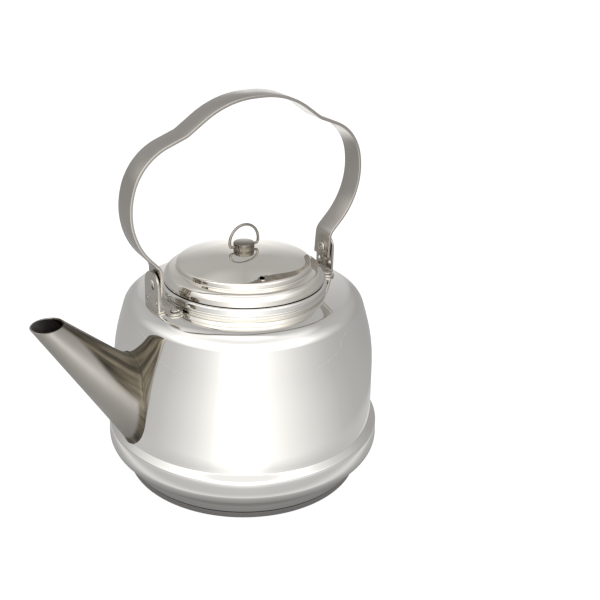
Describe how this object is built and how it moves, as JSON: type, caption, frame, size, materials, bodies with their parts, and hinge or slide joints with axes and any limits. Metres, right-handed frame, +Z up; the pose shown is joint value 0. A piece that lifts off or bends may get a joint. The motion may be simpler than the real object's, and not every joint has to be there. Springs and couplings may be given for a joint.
{
  "type": "camping kettle",
  "caption": "Polished steel camping kettle with low bulge, tapered spout, lift-off domed lid with ring pull and a folding bail handle on riveted ears.",
  "frame": {"origin": "centre of the kettle's round foot, on the surface it stands on", "axes": "+Z up along the axis of the body; -X towards the spout; the handle's hinge axis lies along X"},
  "size_m": [0.2549, 0.197, 0.2714],
  "materials": {
    "polished_steel": "mirror polished stainless steel",
    "brushed_steel": "brushed stainless strip",
    "bracket_steel": "tumbled stainless pressing",
    "rivet_steel": "bright stainless rivet",
    "spout_steel": "polished stainless tube",
    "base_steel": "turned stainless cap",
    "bare_aluminium": "bare aluminium edge"
  },
  "bodies": {
    "kettle": {"body_shell": "polished_steel", "base_pan": "polished_steel", "base_cap": "base_steel", "heat_disc": "bare_aluminium", "spout_tube": "spout_steel", "ear_bracket_front": "bracket_steel", "ear_bracket_rear": "bracket_steel", "ear_lug_rivets_front": "rivet_steel", "ear_lug_rivets_rear": "rivet_steel", "handle_rivet_front": "rivet_steel", "handle_rivet_rear": "rivet_steel", "handle_washer_front": "rivet_steel", "handle_washer_rear": "rivet_steel"},
    "handle": {"handle_band": "brushed_steel"},
    "lid": {"lid_shell": "polished_steel", "lid_collar": "polished_steel", "lid_knob": "rivet_steel", "knob_washer": "rivet_steel", "knob_screw": "rivet_steel"},
    "ring": {"lid_ring": "rivet_steel"}
  },
  "joints": [
    {"name": "handle_swing", "type": "hinge", "parent": "kettle", "child": "handle", "pos_m": [0, 0, 0.1517], "axis": [1, 0, 0], "range_deg": [-109, 101]},
    {"name": "lid_lift", "type": "slide", "parent": "kettle", "child": "lid", "axis": [0, 0, 1], "range_m": [0, 0.045]},
    {"name": "ring_swing", "type": "hinge", "parent": "lid", "child": "ring", "pos_m": [0, 0, 0.1654], "axis": [1, 0, 0], "range_deg": [-92, 92]}
  ]
}
